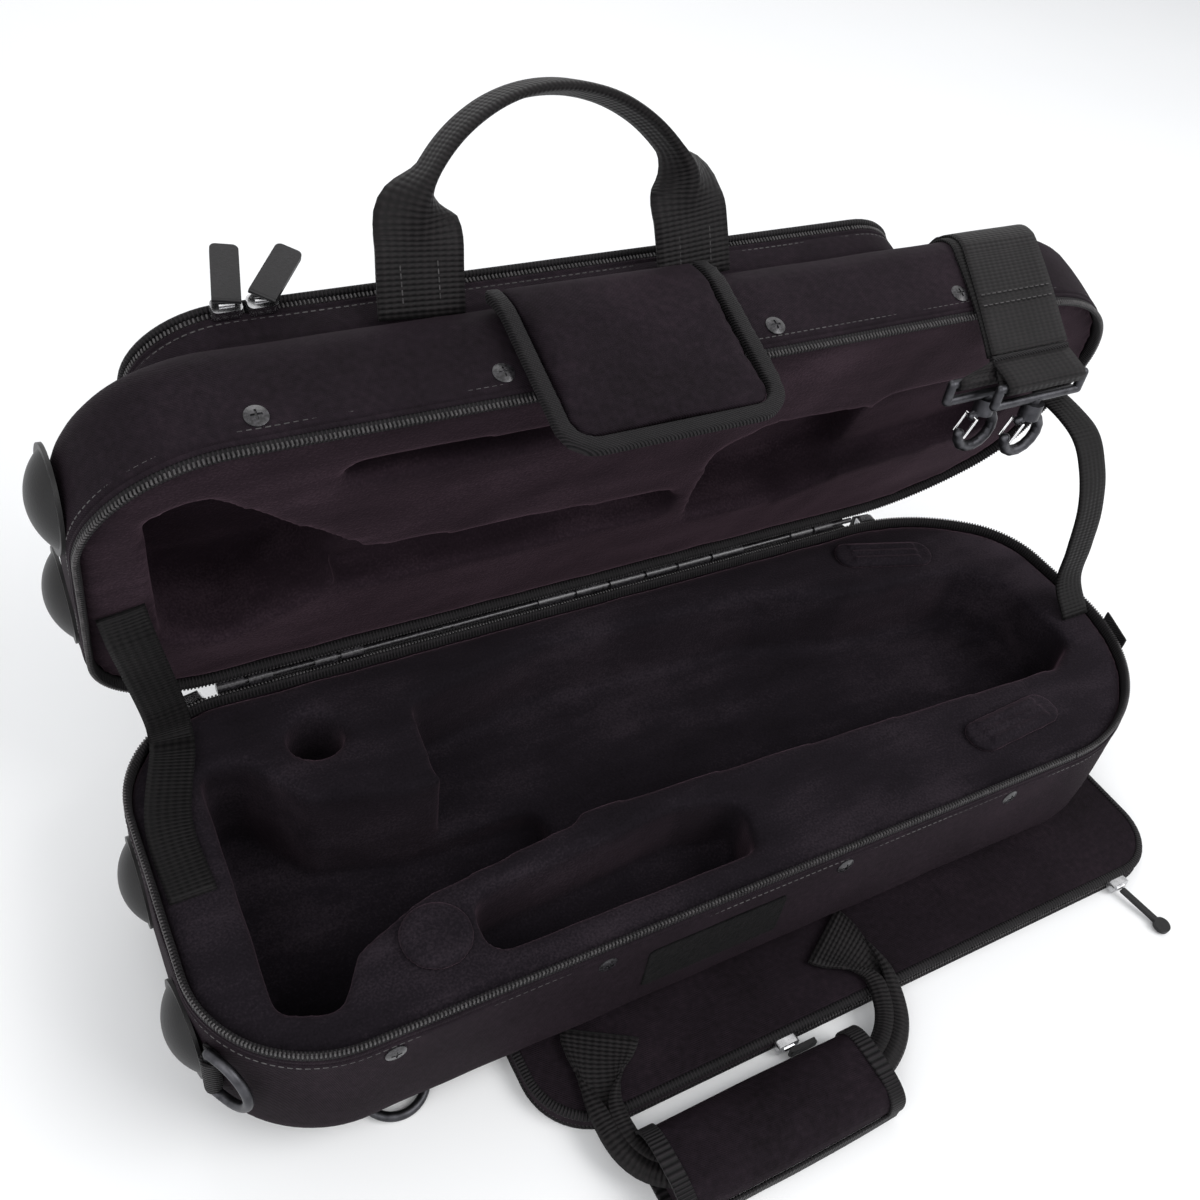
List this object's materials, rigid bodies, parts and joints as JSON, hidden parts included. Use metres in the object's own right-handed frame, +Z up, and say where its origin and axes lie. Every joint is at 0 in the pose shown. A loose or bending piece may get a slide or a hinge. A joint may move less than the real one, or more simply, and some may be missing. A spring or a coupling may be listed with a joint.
{
  "type": "trumpet case",
  "caption": "Padded trumpet case with a zipped hinged lid, a closure flap, carrying handles, outer pockets, ring and hook strap fittings and a velour-lined fitted insert.",
  "frame": {"origin": "centre of the case's plan on the floor, on the underside of the music pocket", "axes": "+X along the case from its bell end, +Y from the front wall to the hinge, +Z up; the lid stands open by 69 degrees at rest"},
  "size_m": [0.5602, 0.3627, 0.367],
  "materials": {
    "binding": "black grosgrain",
    "black_metal": "black lacquered",
    "cast_metal": "light grey cast metal",
    "foam": null,
    "lid_velour": "brushed dark aubergine velour",
    "loops": "black hook-and-loop fabric",
    "nickel": "satin nickel",
    "nylon": "black twill nylon over padding",
    "rubber": "satin black rubber",
    "screw_black": "glossy black",
    "steel": "bright steel",
    "velour": "brushed brown-black velour",
    "webbing": "ribbed black webbing",
    "zip_tape": "black coil zip on tape"
  },
  "bodies": {
    "tray": {"tray_shell": "nylon", "tray_foam": "foam", "tray_lining": "velour", "tray_zip": "zip_tape", "loop_patch": "loops", "tray_screws": "screw_black", "tray_bumper_back": "rubber", "tray_bumper_front": "rubber", "foam_dome": "velour", "support_pad_front": "velour", "support_pad_back": "velour", "d_ring_tabs": "webbing", "hinge_rod": "steel", "tray_hinge_sleeves": "black_metal", "stay_strap_left": "webbing", "stay_strap_right": "webbing", "music_pocket_bottom": "nylon", "music_pocket_top": "nylon", "music_pocket_gusset": "nylon", "music_zip": "zip_tape"},
    "lid": {"lid_shell": "nylon", "lid_foam": "foam", "lid_lining": "lid_velour", "lid_zip": "zip_tape", "lid_hinge_sleeves": "black_metal", "lid_screws": "screw_black", "lid_bumper_back": "rubber", "lid_bumper_front": "rubber", "accessory_gusset": "nylon", "accessory_zip": "zip_tape", "shoulder_webbing": "webbing"},
    "flap": {"closure_flap": "nylon", "flap_binding": "binding", "hook_patch": "loops"},
    "pocket_top": {"accessory_panel": "nylon"},
    "top_handle": {"top_handle": "webbing"},
    "bottom_handle": {"bottom_handle_webbing": "webbing", "bottom_handle_grip": "binding"},
    "d_ring_left": {"d_ring_left": "cast_metal"},
    "d_ring_right": {"d_ring_right": "cast_metal"},
    "d_ring_under": {"d_ring_under": "cast_metal"},
    "strap_end": {"strap_end_webbing": "webbing", "strap_rings": "cast_metal"},
    "accessory_slider_left": {"accessory_slider_left": "nickel"},
    "accessory_pull_left": {"accessory_pull_left": "rubber"},
    "music_slider_left": {"music_slider_left": "nickel"},
    "music_pull_left": {"music_pull_left": "rubber"},
    "main_zip_slider_left": {"main_zip_slider_left": "nickel"},
    "main_pull_left": {"main_pull_left": "rubber"},
    "accessory_slider_right": {"accessory_slider_right": "nickel"},
    "accessory_pull_right": {"accessory_pull_right": "rubber"},
    "music_slider_right": {"music_slider_right": "nickel"},
    "music_pull_right": {"music_pull_right": "rubber"},
    "main_zip_slider_right": {"main_zip_slider_right": "nickel"},
    "main_pull_right": {"main_pull_right": "rubber"},
    "snap_hook_front": {"snap_hook_front": "cast_metal"},
    "hook_gate_front": {"hook_gate_front": "steel"},
    "snap_hook_back": {"snap_hook_back": "cast_metal"},
    "hook_gate_back": {"hook_gate_back": "steel"}
  },
  "joints": [
    {"name": "lid_hinge", "type": "hinge", "parent": "tray", "child": "lid", "pos_m": [0, 0.103, 0.087], "axis": [-1, 0, 0], "range_deg": [-69, 50], "deforming": ["stay_strap_left", "stay_strap_right"]},
    {"name": "flap_hinge", "type": "hinge", "parent": "lid", "child": "flap", "pos_m": [-0.0465, 0.0786, 0.29186], "axis": [-1, 0, 0], "range_deg": [0, 90]},
    {"name": "top_handle_swing", "type": "hinge", "parent": "lid", "child": "top_handle", "pos_m": [-0.056, 0.08859, 0.28391], "axis": [1, 0, 0], "range_deg": [-47, 15]},
    {"name": "bottom_handle_swing", "type": "hinge", "parent": "tray", "child": "bottom_handle", "pos_m": [-0.0375, -0.102, 0.0123], "axis": [-1, 0, 0], "range_deg": [0, 75]},
    {"name": "pocket_top_hinge", "type": "hinge", "parent": "lid", "child": "pocket_top", "pos_m": [0, 0.17019, 0.13186], "axis": [-1, 0, 0], "range_deg": [0, 80]},
    {"name": "accessory_slider_left_corner", "type": "hinge", "parent": "lid", "child": "accessory_slider_left", "pos_m": [-0.1955, 0.12152, 0.24943], "axis": [0, -0.9336, -0.3584], "range_deg": [0, 90]},
    {"name": "accessory_slider_right_run", "type": "slide", "parent": "lid", "child": "accessory_slider_right", "axis": [1, 0, 0], "range_m": [0, 0.2945]},
    {"name": "accessory_pull_left_swing", "type": "hinge", "parent": "accessory_slider_left", "child": "accessory_pull_left", "pos_m": [-0.1955, 0.10448, 0.29383], "axis": [0.9703, -0.2259, -0.0867], "range_deg": [0, 110]},
    {"name": "accessory_pull_right_swing", "type": "hinge", "parent": "accessory_slider_right", "child": "accessory_pull_right", "pos_m": [-0.1815, 0.10448, 0.29383], "axis": [0.766, -0.6001, -0.2304], "range_deg": [0, 110]},
    {"name": "music_slider_left_run", "type": "slide", "parent": "tray", "child": "music_slider_left", "axis": [1, 0, 0], "range_m": [0, 0.10575]},
    {"name": "music_slider_right_run", "type": "slide", "parent": "tray", "child": "music_slider_right", "axis": [-1, 0, 0], "range_m": [0, 0.10575]},
    {"name": "music_pull_left_swing", "type": "hinge", "parent": "music_slider_left", "child": "music_pull_left", "pos_m": [-0.02, -0.14556, 0.005], "axis": [0, 0, -1], "range_deg": [0, 20]},
    {"name": "music_pull_right_swing", "type": "hinge", "parent": "music_slider_right", "child": "music_pull_right", "pos_m": [0.208, -0.14556, 0.005], "axis": [-0.9781, -0.2079, 0], "range_deg": [0, 100]},
    {"name": "main_zip_slider_left_turn", "type": "hinge", "parent": "tray", "child": "main_zip_slider_left", "pos_m": [-0.2165, 0.044, 0.0828], "axis": [0, 0, 1], "range_deg": [0, 50]},
    {"name": "main_pull_left_swing", "type": "hinge", "parent": "main_zip_slider_left", "child": "main_pull_left", "pos_m": [-0.23002, 0.10611, 0.0828], "axis": [0.9771, 0.2126, 0], "range_deg": [0, 55]},
    {"name": "main_zip_slider_right_turn", "type": "hinge", "parent": "tray", "child": "main_zip_slider_right", "pos_m": [0.1755, -0.02703, 0.0828], "axis": [0, 0, -1], "range_deg": [0, 40]},
    {"name": "main_pull_right_swing", "type": "hinge", "parent": "main_zip_slider_right", "child": "main_pull_right", "pos_m": [0.1882, 0.10696, 0.0828], "axis": [0.9955, -0.0943, 0], "range_deg": [0, 55]},
    {"name": "d_ring_left_swing", "type": "hinge", "parent": "tray", "child": "d_ring_left", "pos_m": [-0.26888, -0.07061, 0.0573], "axis": [0, 0, -1], "range_deg": [0, 140]},
    {"name": "d_ring_right_swing", "type": "hinge", "parent": "tray", "child": "d_ring_right", "pos_m": [0.2705, -0.03694, 0.0703], "axis": [-0.342, -0.9397, 0], "range_deg": [0, 140]},
    {"name": "d_ring_under_swing", "type": "hinge", "parent": "tray", "child": "d_ring_under", "pos_m": [-0.196, -0.07584, 0.00614], "axis": [1, 0, 0], "range_deg": [-10, 120]},
    {"name": "strap_end_swing", "type": "hinge", "parent": "lid", "child": "strap_end", "pos_m": [0.146, 0.00541, 0.27062], "axis": [-1, 0, 0], "range_deg": [-50, 69]},
    {"name": "snap_hook_front_swivel", "type": "hinge", "parent": "strap_end", "child": "snap_hook_front", "pos_m": [0.146, -0.00759, 0.26312], "axis": [0, 0, 1], "range_deg": [-15, 90]},
    {"name": "hook_gate_front_hinge", "type": "hinge", "parent": "snap_hook_front", "child": "hook_gate_front", "pos_m": [0.14026, -0.00759, 0.24206], "axis": [0, -1, 0], "range_deg": [0, 30], "stiffness_Nm_per_rad": 0.004, "springref_deg": -17.19},
    {"name": "snap_hook_back_swivel", "type": "hinge", "parent": "strap_end", "child": "snap_hook_back", "pos_m": [0.126, 0.00291, 0.26312], "axis": [0, 0, 1], "range_deg": [-8, 20]},
    {"name": "hook_gate_back_hinge", "type": "hinge", "parent": "snap_hook_back", "child": "hook_gate_back", "pos_m": [0.12026, 0.00291, 0.24206], "axis": [0, -1, 0], "range_deg": [0, 30], "stiffness_Nm_per_rad": 0.004, "springref_deg": -17.19}
  ],
  "couplings": [
    {"joint": "strap_end_swing", "follows": "lid_hinge", "ratio": -1}
  ]
}
